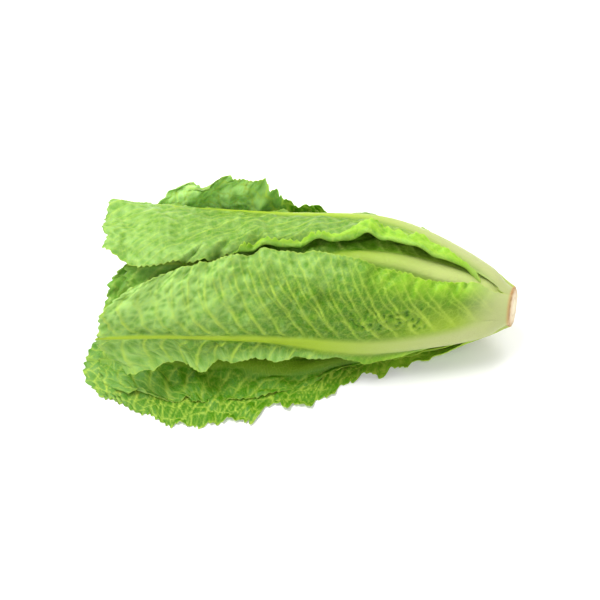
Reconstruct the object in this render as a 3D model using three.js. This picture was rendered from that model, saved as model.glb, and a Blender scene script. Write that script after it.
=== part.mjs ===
import * as THREE from 'three';

// A head of romaine lettuce, cut off its root and laid on its side. Millimetres, +Z up.
// The head lies along X. The cut end of the stem looks to +X and the leaf tips to -X.
//
// Every leaf grows out of the stem and lies inside the leaves that grew before it, so the whole
// head is described in one curved space. "along" is the distance from the cut face towards the
// tips, and "turn" is the angle about the head's axis: 0 is the back (+Y), 90 is up, 180 is the
// front (-Y) and 270 is down. A leaf is a layer of that space, pushed inwards by the leaves that
// cover it.

// Driving dimensions of the head
const CUT_X = 130;
const AXIS_Y = 6.5;
const CUT_RADIUS = 14.5;
const CUT_TILT = 0.2;
const CUT_TILT_TURN = 128;
const CUT_TILT_REACH = 40;
const BODY_RADIUS = 49;
const SHOULDER = 115;
const TIP_SPREAD = 5;
const TIP_SPREAD_FROM = 150;
const TIP_SPREAD_TO = 250;
const AXIS_HEIGHT_AT_CUT = 36;
const AXIS_HEIGHT = 41;
const AXIS_RISE_LENGTH = 100;

// The head bends a little towards the front from the middle on
const BEND = 0.2;
const BEND_START = 110;
const BEND_SOFTNESS = 40;

// Its weight pushes the lowest leaves out over the surface, towards the front
const SLUMP = 41;
const SLUMP_FROM = 50;
const SLUMP_TO = 180;
const SLUMP_TOP = 38;
const SLUMP_BOTTOM = 4;
const SLUMP_BACK = 35;
const SLUMP_FRONT = -25;

// Stem
const STEM_RADIUS = 13.8;
const STEM_TAPER = 33;
const STEM_LENGTH = 47;
const STEM_SIDES = 20;
const STEM_GAP = 1.15;

// Leaf blade and midrib
const BLADE = 1.1;
const THINNEST = 0.85;
const RIB_EDGE = 1;
const RIB_SHARE = 0.75;
const RIB_NARROWING = 1.6;
const RIB_THINNING = 1.3;
const RIB_OUTSIDE = 0.55;
const BASE_THICKNESS = 0.2;
const BASE_LENGTH = 14;
const ROOM_SHARE = 0.7;
const ADD_LENGTH = 60;
const TURN_FROM = 0.25;
const TIP_ROUNDING = 0.11;
const TIP_ROUNDING_FROM = 0.55;

// Waves of the blade: a long and a short one along each margin, and a few across the tip. They
// fade towards the midrib with the power WAVE_FADE. share is the part of the leaf's wave size,
// pace the number of waves against the long one, lag what the front or the back side lags by.
const WAVE_FADE = 2.4;
const LONG_WAVE = { share: 0.75, frontLag: 1.7 };
const SHORT_WAVE = { share: 0.4, pace: 1.83, phase: 2.1, backLag: 2 };
const TIP_WAVE = { share: 0.7, halfWaves: 3 };
const WAVES_FROM = 0.08;
const WAVES_TO = 0.35;
const TIP_END_FROM = 0.8;
const TIP_FLARE_FROM = 0.75;
const FLARE_LENGTH = 0.2;
const TIP_UNFLARED = 0.4;

// Room between leaves. A leaf keeps clear of the margins of the leaves that cover it, and
// swells out again past them.
const LEAF_GAP = 0.7;
const LEAF_GAP_AT_TIP = 2.2;
const GAP_FROM = 40;
const GAP_TO = 130;
const SOFTNESS = 1.2;
const MARGIN_RELEASE = 0.03;
const MARGIN_REACH = 45;
const MARGIN_CLEAR = 1.8;
const MARGIN_BAND = 11;
const UNDERSIDE = 0.05;
const BASE_REACH = 1;
const FIT_PASSES = 8;
const FIT_WIDTH = 1.4;
const FIT_LENGTH = 0.4;
const FIT_BASE = 0.2;

// The leaves in the order in which they grew, the outermost first. base and tip are distances
// along the head, turn is where the midrib lies at the base and at the tip, girth is the layer's
// share of the body's radius, add the millimetres added to it, and lift how far the leaf stays off
// the ground. rib and ribWidth give the midrib's height and half-width at the base. front and back
// give the half-widths of the two sides at the stations below, and scale shrinks both. flare turns
// the back side, the front side and the tip outwards, flareFrom is where that begins, round is how
// far the tip's corners are rounded off, and wave gives the waves' size, number and phase.
const STATIONS = [0, 0.08, 0.2, 0.4, 0.6, 0.78, 0.9, 1];
const BROAD = [10, 20, 31, 50, 63, 67, 60, 42];
const NARROW = [9, 16, 24, 40, 54, 57, 51, 36];

const LEAVES = [
  {
    name: 'leaf_under', color: 0x5f9a2c, base: 2, tip: 293, turn: [275, 262],
    girth: 1, add: 8, lift: 0, rib: 6.5, ribWidth: 14,
    front: NARROW, back: [10, 24, 41, 56, 53, 52, 41, 27],
    flare: [6, 2, 3], round: 0.06, wave: [3, 7.5, 0.4],
  },
  {
    name: 'leaf_back_low', color: 0x6aa336, base: 3, tip: 262, turn: [322, 322],
    girth: 1, add: 7, lift: 0.6, rib: 6, ribWidth: 13,
    front: NARROW, back: BROAD, flare: [2, 3, 4], wave: [3, 6.5, 1.9],
  },
  {
    name: 'leaf_back', color: 0x7ab04a, base: 5, tip: 266, turn: [8, 4],
    girth: 1, add: 5, lift: 0.6, rib: 6, ribWidth: 13,
    front: [9, 9, 8, 8, 25, 43, 39, 30], back: [8, 15, 22, 32, 38, 39, 34, 26],
    flare: [0, 20, 5], flareFrom: 0.5, wave: [3, 7, 0.9],
  },
  {
    name: 'leaf_near_low', color: 0x6aa42b, base: 5, tip: 287, turn: [242, 260],
    girth: 1, add: 4.5, lift: 1, rib: 5, ribWidth: 11,
    front: [9, 15, 20, 24, 25, 25, 24, 20], back: [6, 7, 8, 11, 19, 26, 27, 25],
    flare: [0, 0, 2], wave: [2.5, 7, 2.6],
  },
  {
    name: 'leaf_front', color: 0x6f9a38, base: 5, tip: 278, turn: [190, 168],
    girth: 1, add: 0, lift: 1, rib: 6.5, ribWidth: 13,
    front: [10, 17, 17, 9, 12, 20, 19, 26], back: [24, 42, 54, 69, 67, 57, 48, 36],
    flare: [2, 2, 2], round: 0.09, wave: [3, 8.5, 1.2],
  },
  {
    name: 'leaf_top', color: 0x86b942, base: 5.5, tip: 285, turn: [55, 42],
    girth: 1, add: 0, lift: 1, rib: 6.5, ribWidth: 13,
    front: [12, 14, 25, 33, 43, 62, 67, 56], back: BROAD,
    flare: [1, 6, 4], round: 0.035, wave: [3, 8, 0.1],
  },
  {
    name: 'leaf_middle', color: 0x9cc65a, base: 12, tip: 262, turn: [101, 113],
    girth: 0.87, add: 0, lift: 1, rib: 5.5, ribWidth: 9,
    front: [10, 20, 30, 46, 52, 54, 50, 38], back: BROAD, flare: [1, 1, 2], wave: [2, 7, 2.2],
  },
  {
    name: 'leaf_inner_1', color: 0x8fbb62, base: 16, tip: 278, turn: [150, 148],
    girth: 0.76, add: 0, lift: 1, rib: 5, ribWidth: 11,
    front: [9, 16, 22, 28, 32, 34, 32, 28], back: NARROW, flare: [0, 0, 2], wave: [2, 7, 0.7],
  },
  {
    name: 'leaf_inner_2', color: 0x93c052, base: 19, tip: 236, turn: [290, 290],
    girth: 0.67, add: 0, lift: 1, rib: 4.5, ribWidth: 10, scale: 0.75,
    front: NARROW, back: [9, 16, 22, 27, 28, 28, 26, 22], flare: [0, 0, 2], wave: [1.8, 6, 1.4],
  },
  {
    name: 'leaf_inner_3', color: 0x99c655, base: 23, tip: 240, turn: [20, 20],
    girth: 0.6, add: 0, lift: 1, rib: 4, ribWidth: 9, scale: 0.75,
    front: NARROW, back: NARROW, flare: [0, 0, 2], wave: [1.8, 6, 2.9],
  },
  {
    name: 'leaf_inner_4', color: 0xa3cc5c, base: 27, tip: 216, turn: [235, 235],
    girth: 0.51, add: 0, lift: 1, rib: 3.5, ribWidth: 8, scale: 0.54,
    front: NARROW, back: NARROW, flare: [0, 0, 2], wave: [1.6, 5, 0.5],
  },
  {
    name: 'leaf_inner_5', color: 0xadd264, base: 31, tip: 212, turn: [115, 115],
    girth: 0.43, add: 0, lift: 1, rib: 3, ribWidth: 7, scale: 0.65,
    front: NARROW, back: NARROW, flare: [0, 0, 2], wave: [1.5, 5, 1.7],
  },
  {
    name: 'leaf_inner_6', color: 0xb9d96f, base: 35, tip: 195, turn: [335, 335],
    girth: 0.35, add: 0, lift: 1, rib: 2.6, ribWidth: 6, scale: 0.55,
    front: NARROW, back: NARROW, flare: [0, 0, 1.5], wave: [1.3, 4, 2.5],
  },
  {
    name: 'leaf_inner_7', color: 0xc4df7c, base: 38, tip: 175, turn: [60, 60],
    girth: 0.28, add: 0, lift: 1, rib: 2.2, ribWidth: 5, scale: 0.44,
    front: NARROW, back: NARROW, flare: [0, 0, 1.5], wave: [1.2, 4, 0.3],
  },
  {
    name: 'leaf_inner_8', color: 0xcfe58a, base: 41, tip: 150, turn: [200, 200],
    girth: 0.21, add: 0, lift: 1, rib: 1.8, ribWidth: 4, scale: 0.34,
    front: NARROW, back: NARROW, flare: [0, 0, 1], wave: [1, 3.5, 1.1],
  },
];

const OUTER_LEAVES = 6;
const INNER_LEAVES = 4;

const RADIANS = Math.PI / 180;

function clamp(value, low, high) {
  return Math.min(high, Math.max(low, value));
}

function smoothstep(from, to, value) {
  const t = clamp((value - from) / (to - from), 0, 1);
  return t * t * (3 - 2 * t);
}

// The smaller of two lengths, rounded off where they are nearly equal
function softMin(a, b, softness = SOFTNESS) {
  const low = Math.min(a, b);
  return low - softness * Math.log(1 + Math.exp(-Math.abs(a - b) / softness));
}

function profileAt(values, s) {
  const t = clamp(s, 0, 1);
  let i = 0;
  while (i < STATIONS.length - 2 && t > STATIONS[i + 1]) i += 1;
  const f = (t - STATIONS[i]) / (STATIONS[i + 1] - STATIONS[i]);
  const before = values[Math.max(0, i - 1)];
  const after = values[Math.min(values.length - 1, i + 2)];
  const a = values[i];
  const b = values[i + 1];
  const bend = 0.25 * f * (1 - f);
  return a + (b - a) * f + bend * ((1 - f) * (2 * a - before - b) + f * (2 * b - a - after));
}

// The head's own shape

function bodyRadius(along) {
  const rise = Math.sin((Math.PI / 2) * Math.min(1, along / SHOULDER));
  const spread = TIP_SPREAD * smoothstep(TIP_SPREAD_FROM, TIP_SPREAD_TO, along);
  return CUT_RADIUS + (BODY_RADIUS - CUT_RADIUS) * rise + spread;
}

function stemRadius(along) {
  return STEM_RADIUS * Math.exp(-along / STEM_TAPER);
}

function axisY(along) {
  const ramp = (t) => 0.5 * (t + Math.hypot(t, BEND_SOFTNESS));
  return AXIS_Y - BEND * (ramp(along - BEND_START) - ramp(-BEND_START));
}

function axisZ(along) {
  const rise = smoothstep(0, AXIS_RISE_LENGTH, along);
  return AXIS_HEIGHT_AT_CUT + (AXIS_HEIGHT - AXIS_HEIGHT_AT_CUT) * rise;
}

// From along, turn (radians) and distance off the axis to a point in space
function place(along, turn, radius) {
  const tilt = CUT_TILT * radius * Math.cos(turn - CUT_TILT_TURN * RADIANS);
  const x = CUT_X - along - tilt * (1 - smoothstep(0, CUT_TILT_REACH, along));
  const offY = radius * Math.cos(turn);
  const z = axisZ(along) + radius * Math.sin(turn);
  const low = 1 - smoothstep(SLUMP_BOTTOM, SLUMP_TOP, z);
  const front = 1 - smoothstep(SLUMP_FRONT, SLUMP_BACK, offY);
  const slump = SLUMP * smoothstep(SLUMP_FROM, SLUMP_TO, along) * low * front;
  return new THREE.Vector3(x, axisY(along) + offY - slump, z);
}

// One leaf in its own flat measure: s runs from base to tip and v from side to side, -1 to 1.
// The side with v below 0 has the smaller turn.

function leafLength(leaf) {
  return leaf.tip - leaf.base;
}

function halfWidth(leaf, s, v) {
  const scale = leaf.scale === undefined ? 1 : leaf.scale;
  return scale * profileAt(v < 0 ? leaf.back : leaf.front, s);
}

function roundingAt(leaf, s) {
  const depth = leaf.round === undefined ? TIP_ROUNDING : leaf.round;
  return depth * smoothstep(TIP_ROUNDING_FROM, 1, s);
}

function midribTurn(leaf, along) {
  const t = (along - leaf.base) / leafLength(leaf);
  const [atBase, atTip] = leaf.turn;
  return (atBase + (atTip - atBase) * smoothstep(TURN_FROM, 1, t)) * RADIANS;
}

function layerRadius(leaf, along) {
  return bodyRadius(along) * leaf.girth + leaf.add * smoothstep(0, ADD_LENGTH, along);
}

function alongAt(leaf, s, v) {
  return leaf.base + leafLength(leaf) * (s - roundingAt(leaf, s) * v * v);
}

// Where a point of the head's space lies on a leaf, and how far past the leaf's edge it is
function onLeaf(leaf, along, turn) {
  let angle = turn - midribTurn(leaf, along);
  angle -= 2 * Math.PI * Math.round(angle / (2 * Math.PI));
  const across = angle * layerRadius(leaf, along);
  const straight = (along - leaf.base) / leafLength(leaf);
  let s = straight;
  let v = 0;
  for (let pass = 0; pass < FIT_PASSES; pass += 1) {
    v = clamp(across / halfWidth(leaf, s, across), -FIT_WIDTH, FIT_WIDTH);
    s = clamp(straight + roundingAt(leaf, s) * v * v, -FIT_BASE, 1 + FIT_LENGTH);
  }
  const wide = Math.abs(across) - halfWidth(leaf, s, across);
  const long = (s - 1) * leafLength(leaf);
  const past = Math.hypot(Math.max(0, wide), Math.max(0, long));
  return { s, v: clamp(v, -1, 1), across, past, edge: Math.max(wide, long) };
}

function ribHalfWidth(leaf, s) {
  const width = leaf.ribWidth * Math.pow(1 - clamp(s, 0, 1), RIB_NARROWING) + RIB_EDGE;
  return Math.min(width, RIB_SHARE * halfWidth(leaf, s, -1), RIB_SHARE * halfWidth(leaf, s, 1));
}

function ribHeight(leaf, s, across) {
  const t = clamp(across / ribHalfWidth(leaf, s), -1, 1);
  const height = leaf.rib * Math.pow(1 - clamp(s, 0, 1), RIB_THINNING);
  const growth = smoothstep(0, BASE_LENGTH, s * leafLength(leaf));
  return height * (1 - t * t) * (BASE_THICKNESS + (1 - BASE_THICKNESS) * growth);
}

// How far the blade waves, curls and flares off its layer
function ruffle(leaf, s, v) {
  const [size, count, phase] = leaf.wave;
  const [flareBack, flareFront, flareTip] = leaf.flare;
  const back = v < 0;
  const edge = Math.pow(Math.abs(v), WAVE_FADE);
  const turns = 2 * Math.PI * count * s;
  const long = Math.sin(turns + phase + (back ? 0 : LONG_WAVE.frontLag));
  const shortTurns = SHORT_WAVE.pace * turns + SHORT_WAVE.phase * phase;
  const short = Math.sin(shortTurns + (back ? SHORT_WAVE.backLag : 0));
  const grown = smoothstep(WAVES_FROM, WAVES_TO, s);
  const start = leaf.flareFrom;
  const flared = start ? smoothstep(start, start + FLARE_LENGTH, s) : grown;
  const side = size * edge * grown * (LONG_WAVE.share * long + SHORT_WAVE.share * short);
  const atEnd = smoothstep(TIP_END_FROM, 1, s);
  const tipWave = Math.sin(TIP_WAVE.halfWaves * Math.PI * v + phase);
  const end = TIP_WAVE.share * size * atEnd * tipWave * (1 - edge);
  const curl = (back ? flareBack : flareFront) * edge * flared * (1 - TIP_UNFLARED * atEnd);
  return side + end + curl + flareTip * smoothstep(TIP_FLARE_FROM, 1, s);
}

function gapAt(along) {
  return LEAF_GAP + (LEAF_GAP_AT_TIP - LEAF_GAP) * smoothstep(GAP_FROM, GAP_TO, along);
}

// The outer and inner surface of one leaf at a point of the head's space. Each leaf before it
// takes its room first.
function layerAt(index, along, turn) {
  const down = -Math.sin(turn);
  let room = Infinity;
  for (let i = 0; i <= index; i += 1) {
    const leaf = LEAVES[i];
    const { s, v, across, past, edge } = onLeaf(leaf, along, turn);
    if (i < index && (past > MARGIN_REACH || along < leaf.base - BASE_REACH)) continue;
    const rib = ribHeight(leaf, s, across);
    let outer = layerRadius(leaf, along) + ruffle(leaf, s, v) + RIB_OUTSIDE * rib;
    if (down > UNDERSIDE) outer = softMin(outer, (axisZ(along) - leaf.lift) / down);
    if (room < Infinity) outer = softMin(outer, room - gapAt(along));
    const free = outer - stemRadius(along) - STEM_GAP;
    const thick = Math.max(THINNEST, Math.min(BLADE + rib, free * ROOM_SHARE));
    const inner = outer - thick;
    if (i === index) return { outer, inner };
    const nearMargin = Math.exp(-((edge / MARGIN_BAND) ** 2));
    const clear = MARGIN_CLEAR * smoothstep(GAP_FROM, GAP_TO, along) * nearMargin;
    const released = inner + MARGIN_RELEASE * past * past - clear;
    room = room < Infinity ? softMin(room, released) : released;
  }
  return null;
}

// A leaf as a closed slab: a grid on its outer and inner surface, joined along the margin. Rows
// run across the leaf, close together at its base and a fixed pitch apart from there on. Columns
// stand on the midrib and at shares of the blade between the midrib and the margin.
const ROW_STEPS = [0, 3, 8, 15, 24, 34, 45, 57, 70, 84, 98];
const FIRST_ROW = 0.012;
const LAST_ROW = 0.975;
const RIB_FLANK = 0.55;
const RIB_COLUMNS = 5;
const OUTER_GRID = { pitch: 12, blade: [0.3, 0.58, 0.82, 1] };
const INNER_GRID = { pitch: 14.4, blade: [0.36, 0.72, 1] };
const HEART_GRID = { pitch: 18, blade: [0.55, 1] };

// The margin is notched, and so is the tip, by these shares of the width and millimetres
const NOTCH_DEPTH = 0.06;
const NOTCH_FROM = 0.2;
const TIP_NOTCH = 4;
const TIP_SIDE = 3;

// The head's weight presses the lowest leaf flat against what it lies on
const PRESSED_FLAT = 0.3;

function rowsFor(leaf, pitch) {
  const rows = [0];
  const length = leafLength(leaf);
  const stations = ROW_STEPS.slice();
  while (stations[stations.length - 1] < leaf.tip) {
    stations.push(stations[stations.length - 1] + pitch);
  }
  for (const along of stations) {
    const s = (along - leaf.base) / length;
    if (s > FIRST_ROW && s < LAST_ROW) rows.push(s);
  }
  rows.push(1);
  return rows;
}

function columnsFor(leaf, s, blades) {
  const rib = ribHalfWidth(leaf, s);
  const columns = [-rib, -RIB_FLANK * rib, 0, RIB_FLANK * rib, rib];
  const back = halfWidth(leaf, s, -1);
  const front = halfWidth(leaf, s, 1);
  const left = [];
  const right = [];
  for (const part of blades) {
    left.unshift(-(rib + (back - rib) * part));
    right.push(rib + (front - rib) * part);
  }
  return [...left, ...columns, ...right];
}

// A repeatable notch in the margin, from 0 to 1
function notch(leaf, row, side) {
  const value = Math.sin(12.9898 * (row + 1) + 78.233 * (leaf.wave[2] + side)) * 43758.5453;
  return value - Math.floor(value);
}

function leafGeometry(index, grid) {
  const leaf = LEAVES[index];
  const rows = rowsFor(leaf, grid.pitch);
  const positions = [];
  const width = RIB_COLUMNS + 2 * grid.blade.length;
  const surface = (row, column, inside) => (inside * rows.length + row) * width + column;
  for (let inside = 0; inside <= 1; inside += 1) {
    rows.forEach((s, row) => {
      columnsFor(leaf, s, grid.blade).forEach((acrossFull, column) => {
        const edge = column === 0 || column === width - 1;
        const cut = edge && s > NOTCH_FROM ? NOTCH_DEPTH * notch(leaf, row, column) : 0;
        const across = acrossFull * (1 - cut);
        const v = across / halfWidth(leaf, s, across);
        const tipCut = row === rows.length - 1 ? TIP_NOTCH * notch(leaf, column, TIP_SIDE) : 0;
        const along = alongAt(leaf, s, v) - tipCut;
        const turn = midribTurn(leaf, along) + across / layerRadius(leaf, along);
        const layer = layerAt(index, along, turn);
        const point = place(along, turn, inside === 1 ? layer.inner : layer.outer);
        if (point.z < PRESSED_FLAT) point.z = 0;
        positions.push(point.x, point.y, point.z);
      });
    });
  }
  const faces = [];
  const quad = (a, b, c, d) => faces.push(a, b, c, a, c, d);
  const last = rows.length - 1;
  for (let row = 0; row < last; row += 1) {
    for (let column = 0; column < width - 1; column += 1) {
      const a = surface(row, column, 0);
      const b = surface(row + 1, column, 0);
      const c = surface(row + 1, column + 1, 0);
      const d = surface(row, column + 1, 0);
      quad(a, b, c, d);
      const skin = rows.length * width;
      faces.push(a + skin, c + skin, b + skin, a + skin, d + skin, c + skin);
    }
    quad(surface(row, 0, 0), surface(row, 0, 1), surface(row + 1, 0, 1), surface(row + 1, 0, 0));
    quad(
      surface(row + 1, width - 1, 0),
      surface(row + 1, width - 1, 1),
      surface(row, width - 1, 1),
      surface(row, width - 1, 0),
    );
  }
  for (let column = 0; column < width - 1; column += 1) {
    quad(
      surface(0, column + 1, 0),
      surface(0, column + 1, 1),
      surface(0, column, 1),
      surface(0, column, 0),
    );
    quad(
      surface(last, column, 0),
      surface(last, column, 1),
      surface(last, column + 1, 1),
      surface(last, column + 1, 0),
    );
  }
  const geometry = new THREE.BufferGeometry();
  geometry.setAttribute('position', new THREE.Float32BufferAttribute(positions, 3));
  geometry.setIndex(faces);
  geometry.computeVertexNormals();
  return geometry;
}

// The stem: a short core with the cut face at its wide end, tapering between the leaf bases

const STEM_RINGS = [0, 0.6, 6, 13, 21, 30, 39];
const CUT_CHAMFER = 0.5;

function stemGeometry() {
  const positions = [];
  const faces = [];
  const rings = STEM_RINGS.map((along, i) => (
    { along, radius: stemRadius(along) - (i === 0 ? CUT_CHAMFER : 0) }
  ));
  for (const { along, radius } of rings) {
    for (let side = 0; side < STEM_SIDES; side += 1) {
      const point = place(along, (2 * Math.PI * side) / STEM_SIDES, radius);
      positions.push(point.x, point.y, point.z);
    }
  }
  const cut = rings.length * STEM_SIDES;
  const top = cut + 1;
  const cutPoint = place(0, 0, 0);
  const topPoint = place(STEM_LENGTH, 0, 0);
  positions.push(cutPoint.x, cutPoint.y, cutPoint.z, topPoint.x, topPoint.y, topPoint.z);
  for (let side = 0; side < STEM_SIDES; side += 1) {
    const next = (side + 1) % STEM_SIDES;
    faces.push(cut, side, next);
    for (let ring = 0; ring < rings.length - 1; ring += 1) {
      const near = ring * STEM_SIDES;
      const far = near + STEM_SIDES;
      faces.push(near + side, far + side, far + next, near + side, far + next, near + next);
    }
    const end = (rings.length - 1) * STEM_SIDES;
    faces.push(top, end + next, end + side);
  }
  const geometry = new THREE.BufferGeometry();
  geometry.setAttribute('position', new THREE.Float32BufferAttribute(positions, 3));
  geometry.setIndex(faces);
  geometry.computeVertexNormals();
  return geometry;
}

function leafMaterial(color) {
  return new THREE.MeshStandardMaterial({ color, roughness: 0.45, metalness: 0 });
}

const head = new THREE.Group();

const stem = new THREE.Mesh(
  stemGeometry(),
  new THREE.MeshStandardMaterial({ color: 0xd8cb9a, roughness: 0.6, metalness: 0 }),
);
stem.name = 'stem';
head.add(stem);

LEAVES.forEach((leaf, index) => {
  let grid = HEART_GRID;
  if (index < OUTER_LEAVES + INNER_LEAVES) grid = INNER_GRID;
  if (index < OUTER_LEAVES) grid = OUTER_GRID;
  const mesh = new THREE.Mesh(leafGeometry(index, grid), leafMaterial(leaf.color));
  mesh.name = leaf.name;
  head.add(mesh);
});

export default head;
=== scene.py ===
import math

import bpy
import numpy as np
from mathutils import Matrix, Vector


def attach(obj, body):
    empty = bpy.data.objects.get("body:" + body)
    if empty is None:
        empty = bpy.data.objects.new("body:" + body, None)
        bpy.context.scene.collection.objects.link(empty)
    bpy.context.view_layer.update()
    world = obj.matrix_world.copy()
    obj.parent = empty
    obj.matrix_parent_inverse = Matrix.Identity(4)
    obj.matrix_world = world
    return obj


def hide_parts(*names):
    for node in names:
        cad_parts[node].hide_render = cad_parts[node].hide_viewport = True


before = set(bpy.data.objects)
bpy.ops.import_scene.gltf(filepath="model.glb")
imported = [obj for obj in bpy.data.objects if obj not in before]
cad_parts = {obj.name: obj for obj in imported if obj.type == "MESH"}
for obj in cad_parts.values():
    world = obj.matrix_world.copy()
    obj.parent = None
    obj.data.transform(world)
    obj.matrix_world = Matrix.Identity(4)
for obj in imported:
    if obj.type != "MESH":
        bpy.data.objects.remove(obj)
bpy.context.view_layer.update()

# Camera: it looks down on the lying head from the front, with the cut stem to the right and the
# leaf tips to the left, from far enough away that the head hardly tapers.
VIEW_AZIMUTH = math.radians(10)
VIEW_ELEVATION = math.radians(52)
VIEW_DISTANCE = 1.05
VIEW_TARGET = Vector((-0.0175, -0.0125, 0.035))
VIEW_LENS = 90

view_back = Vector((
    math.sin(VIEW_AZIMUTH) * math.cos(VIEW_ELEVATION),
    -math.cos(VIEW_AZIMUTH) * math.cos(VIEW_ELEVATION),
    math.sin(VIEW_ELEVATION),
))
bpy.ops.object.camera_add(location=VIEW_TARGET + view_back * VIEW_DISTANCE)
camera = bpy.context.object
camera.name = "camera"
camera.rotation_euler = view_back.to_track_quat("Z", "Y").to_euler()
camera.data.lens = VIEW_LENS
bpy.context.scene.camera = camera


# Stem: the short core of pale flesh that every leaf grows from. It is cut square with a knife,
# and the cut face has dried to a tan colour with a brown rim.
MILLIMETRE = 0.001

# The head's own space, in millimetres: "along" runs from the cut face towards the tips, and
# "turn" goes round the head's axis, with 0 at the back, 90 degrees up and 180 at the front.
CUT_X = 130
AXIS_Y = 6.5
CUT_RADIUS = 14.5
CUT_TILT = 0.2
CUT_TILT_TURN = math.radians(128)
CUT_TILT_REACH = 40
BODY_RADIUS = 49
SHOULDER = 115
TIP_SPREAD = (5, 150, 250)
AXIS_HEIGHT_AT_CUT = 36
AXIS_HEIGHT = 41
AXIS_RISE_LENGTH = 100
BEND = 0.2
BEND_START = 110
BEND_SOFTNESS = 40
SLUMP = (41, 50, 180)
SLUMP_HEIGHT = (4, 38)
SLUMP_DEPTH = (-25, 35)

DRAW_STRIDES = (127.1, 311.7)
DRAW_SPREAD = 43758.5453
SEED_STRIDE = 74.7

STEM_RADIUS = 13.8
STEM_TAPER = 33
STEM_LENGTH = 46
STEM_FLESH = 0.5
FACE_SHARE = 0.35
FACE_HOLLOW = 0.6
CUT_ROUGHNESS = 0.25
RIM_RADIUS = 16.3
RING_WOBBLE = 5
MERGE_DISTANCE = 0.00002


def smoothstep(low, high, value):
    t = np.clip((value - low) / (high - low), 0, 1)
    return t * t * (3 - 2 * t)


def body_radius(along):
    """Radius of the whole head, under its outermost leaves."""
    rise = np.sin(math.pi / 2 * np.minimum(1, along / SHOULDER))
    size, first, last = TIP_SPREAD
    return CUT_RADIUS + (BODY_RADIUS - CUT_RADIUS) * rise + size * smoothstep(first, last, along)


def stem_radius(along):
    """Radius of the core, which is full of leaf bases and thins out between them."""
    return STEM_RADIUS * np.exp(-along / STEM_TAPER)


def axis_y(along):
    def ramp(t):
        return 0.5 * (t + np.hypot(t, BEND_SOFTNESS))
    return AXIS_Y - BEND * (ramp(along - BEND_START) - ramp(-BEND_START))


def axis_z(along):
    rise = smoothstep(0, AXIS_RISE_LENGTH, along)
    return AXIS_HEIGHT_AT_CUT + (AXIS_HEIGHT - AXIS_HEIGHT_AT_CUT) * rise


def place(along, turn, radius):
    """Points in metres for places given in the head's own space."""
    tilt = CUT_TILT * radius * np.cos(turn - CUT_TILT_TURN)
    x = CUT_X - along - tilt * (1 - smoothstep(0, CUT_TILT_REACH, along))
    off_y = radius * np.cos(turn)
    z = axis_z(along) + radius * np.sin(turn)
    size, first, last = SLUMP
    low = 1 - smoothstep(*SLUMP_HEIGHT, z)
    front = 1 - smoothstep(*SLUMP_DEPTH, off_y)
    y = axis_y(along) + off_y - size * smoothstep(first, last, along) * low * front
    return np.stack([x, y, z], axis=-1) * MILLIMETRE


def draw(column, row, strides, start):
    """A fixed random draw between 0 and 1 for each cell of a plane."""
    value = np.sin(column * strides[0] + row * strides[1] + start) * DRAW_SPREAD
    return value - np.floor(value)


def noise(x, y, seed):
    """Smooth noise between -1 and 1 on a plane, about one bump to a unit."""
    column, row = np.floor(x), np.floor(y)
    u, v = x - column, y - row
    u, v = u * u * (3 - 2 * u), v * v * (3 - 2 * v)

    def corner(i, j):
        return 2 * draw(column + i, row + j, DRAW_STRIDES, seed * SEED_STRIDE) - 1
    near = corner(0, 0) * (1 - u) + corner(1, 0) * u
    far = corner(0, 1) * (1 - u) + corner(1, 1) * u
    return near * (1 - v) + far * v


def add_grid(name, columns, rows):
    """A flat grid primitive, and where each of its points lies, from -1 to 1 and from 0 to 1."""
    bpy.ops.object.select_all(action="DESELECT")
    bpy.ops.mesh.primitive_grid_add(x_subdivisions=columns, y_subdivisions=rows, size=2)
    piece = bpy.context.object
    piece.name = name
    piece.data.name = name
    flat = np.empty(len(piece.data.vertices) * 3)
    piece.data.vertices.foreach_get("co", flat)
    flat = flat.reshape(-1, 3)
    return piece, flat[:, 0].copy(), (flat[:, 1] + 1) / 2


def set_points(piece, points):
    piece.data.vertices.foreach_set("co", points.astype(np.float32).ravel())
    piece.data.update()


def select_only(piece):
    bpy.ops.object.select_all(action="DESELECT")
    piece.select_set(True)
    bpy.context.view_layer.objects.active = piece


def face_outwards():
    """Turns every face of the selected piece outwards and shades it smooth."""
    bpy.ops.object.mode_set(mode="EDIT")
    bpy.ops.mesh.select_all(action="SELECT")
    bpy.ops.mesh.normals_make_consistent(inside=False)
    bpy.ops.object.mode_set(mode="OBJECT")
    bpy.ops.object.shade_smooth()


def close_mesh(piece):
    """Merges the points that meet at the seam and the poles."""
    select_only(piece)
    bpy.ops.object.mode_set(mode="EDIT")
    bpy.ops.mesh.select_all(action="SELECT")
    bpy.ops.mesh.remove_doubles(threshold=MERGE_DISTANCE)
    bpy.ops.mesh.dissolve_degenerate(threshold=MERGE_DISTANCE)
    bpy.ops.object.mode_set(mode="OBJECT")
    face_outwards()


def new_material(name):
    material = bpy.data.materials.new(name)
    material.use_nodes = True
    nodes = material.node_tree.nodes
    links = material.node_tree.links
    return material, nodes, links, nodes["Principled BSDF"]


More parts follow.
